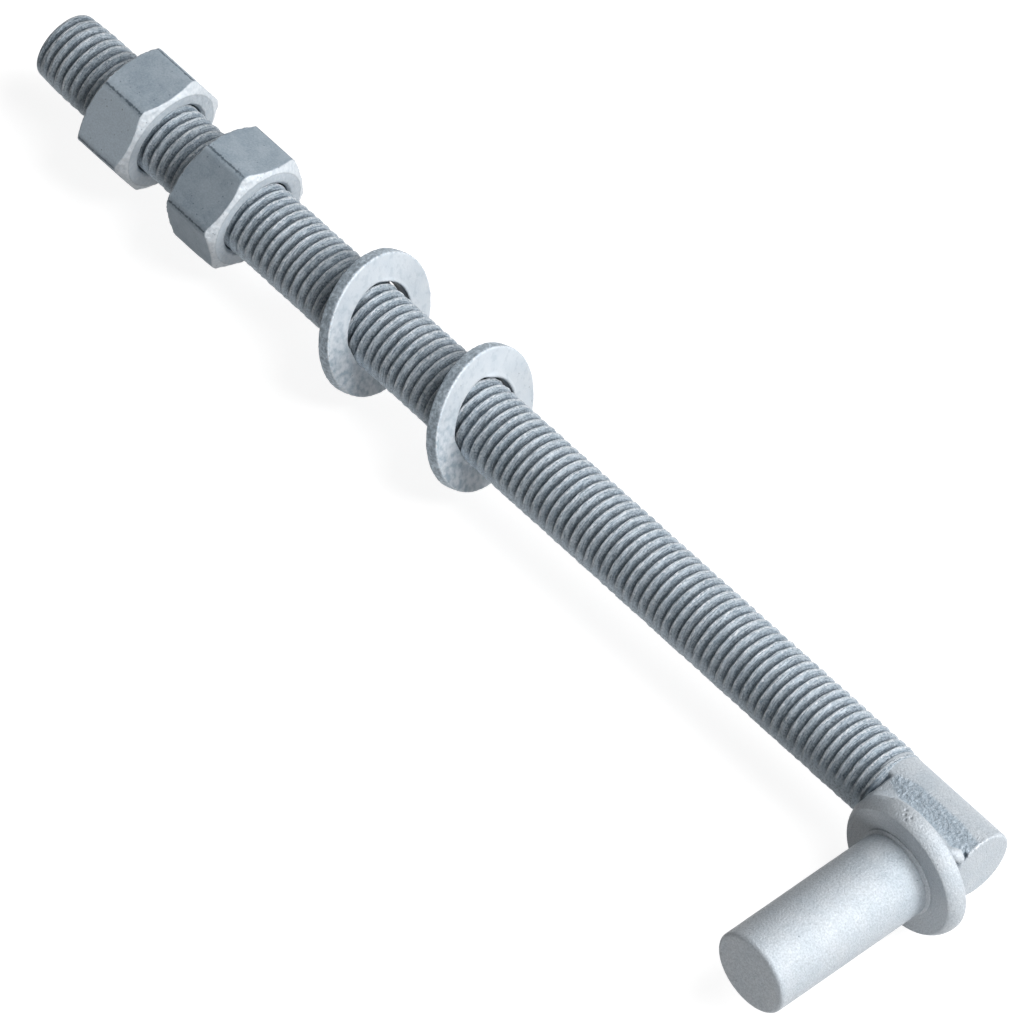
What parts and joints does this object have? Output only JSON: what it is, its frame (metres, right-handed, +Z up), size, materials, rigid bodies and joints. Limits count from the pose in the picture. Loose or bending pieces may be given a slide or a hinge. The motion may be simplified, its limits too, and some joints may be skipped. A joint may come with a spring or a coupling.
{
  "type": "j-bolt hinge pin",
  "caption": "Threaded rod with a forged collar and plain hinge pin standing square to its blunt end, with hexagon nuts and loose flat washers on the thread.",
  "frame": {"origin": "centre of the collar's seat face, on the pin's axis, where the pin leaves the collar", "axes": "the pin points to -Y; the rod runs along X, its blunt end to +X and its threaded tip to -X, on a line 15.1 mm behind the seat; +Z is up with the rod and the pin both level"},
  "size_m": [0.3128, 0.077, 0.0346],
  "materials": {
    "galvanised_forging": "hot-dip galvanised: satin zinc, grainy where the zinc ran, duller in the thread",
    "galvanised_nut": "hot-dip galvanised, dull grey on the flats and bright on the chamfers and faces",
    "galvanised_washer": "hot-dip galvanised, pale satin faces with small specks and a grainy rim"
  },
  "bodies": {
    "bolt": {"j_bolt": "galvanised_forging"},
    "outer_nut_body": {"outer_nut": "galvanised_nut"},
    "inner_nut_body": {"inner_nut": "galvanised_nut"},
    "outer_washer_body": {"outer_washer": "galvanised_washer"},
    "inner_washer_body": {"inner_washer": "galvanised_washer"}
  },
  "joints": [
    {"name": "outer_nut_travel", "type": "slide", "parent": "bolt", "child": "outer_nut_body", "axis": [1, 0, 0], "range_m": [-0.0214, 0.0068]},
    {"name": "inner_nut_travel", "type": "slide", "parent": "bolt", "child": "inner_nut_body", "axis": [1, 0, 0], "range_m": [-0.0068, 0.016]},
    {"name": "outer_washer_travel", "type": "slide", "parent": "bolt", "child": "outer_washer_body", "axis": [1, 0, 0], "range_m": [-0.016, 0.0154]},
    {"name": "inner_washer_travel", "type": "slide", "parent": "bolt", "child": "inner_washer_body", "axis": [1, 0, 0], "range_m": [-0.0154, 0.129]}
  ]
}
